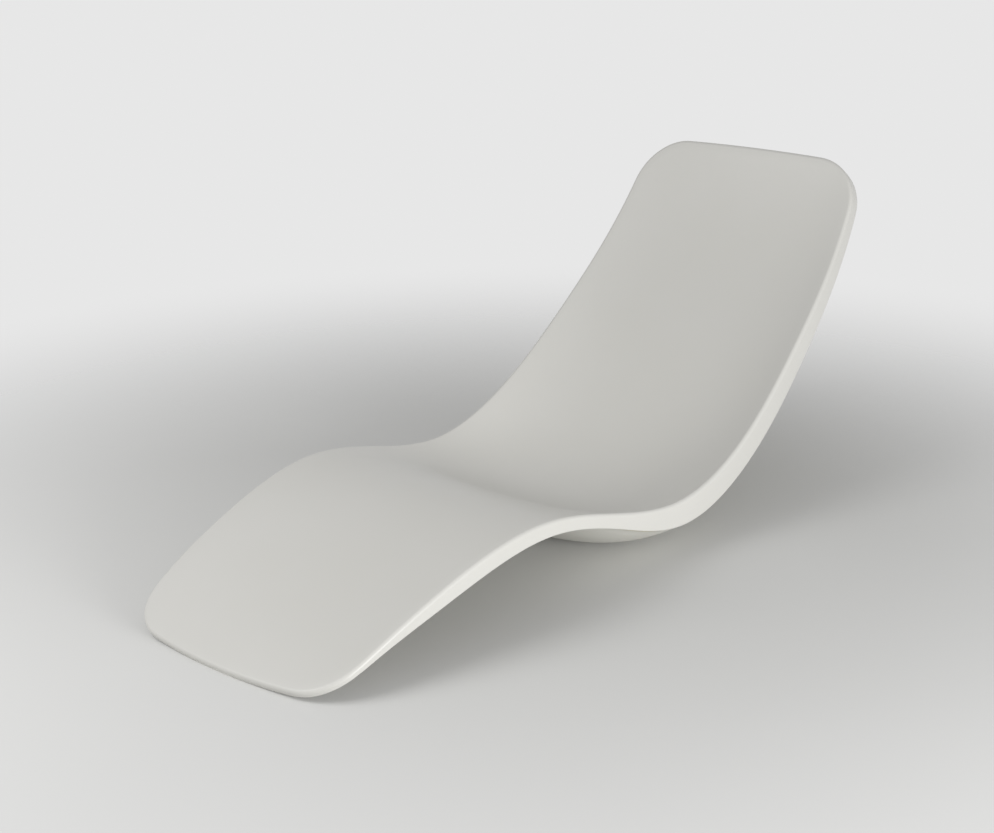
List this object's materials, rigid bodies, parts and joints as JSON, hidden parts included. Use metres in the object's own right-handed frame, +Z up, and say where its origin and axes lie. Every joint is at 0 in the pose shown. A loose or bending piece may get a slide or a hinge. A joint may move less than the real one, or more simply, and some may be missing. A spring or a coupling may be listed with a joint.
{
  "type": "chaise longue",
  "caption": "Low moulded glass-fibre chaise longue, one S-shaped shell with turned-down rim, knee hump, dished seat and reclined back, for lying back indoors or by a pool.",
  "frame": {"origin": "on the floor under the middle of the overall length and width", "axes": "+Z up, +Y from the toe end towards the head end, X across the width, symmetric about X = 0"},
  "size_m": [0.6516, 1.6672, 0.6722],
  "materials": {
    "gelcoat_upper": "polished off-white gelcoat on glass-fibre laminate",
    "gelcoat_under": "off-white gelcoat on glass-fibre laminate, less polished",
    "bonding_paste": "cured filled resin",
    "plywood": "raw birch plywood",
    "foam": "rigid closed-cell foam",
    "foot_rubber": "moulded black rubber",
    "steel": "zinc-plated steel"
  },
  "bodies": {
    "root": {"seat_shell": "gelcoat_upper", "under_shell": "gelcoat_under", "rim_bond": "bonding_paste", "knee_former": "plywood", "thigh_former": "plywood", "lumbar_former": "plywood", "shoulder_former": "plywood", "leg_core": "foam", "thigh_core": "foam", "seat_core": "foam", "back_core": "foam", "head_core": "foam", "front_foot_pad": "plywood", "rear_foot_pad": "plywood", "foot_front_left": "foot_rubber", "foot_front_right": "foot_rubber", "foot_rear_left": "foot_rubber", "foot_rear_right": "foot_rubber", "foot_screws": "steel", "foot_washers": "steel"}
  },
  "joints": []
}
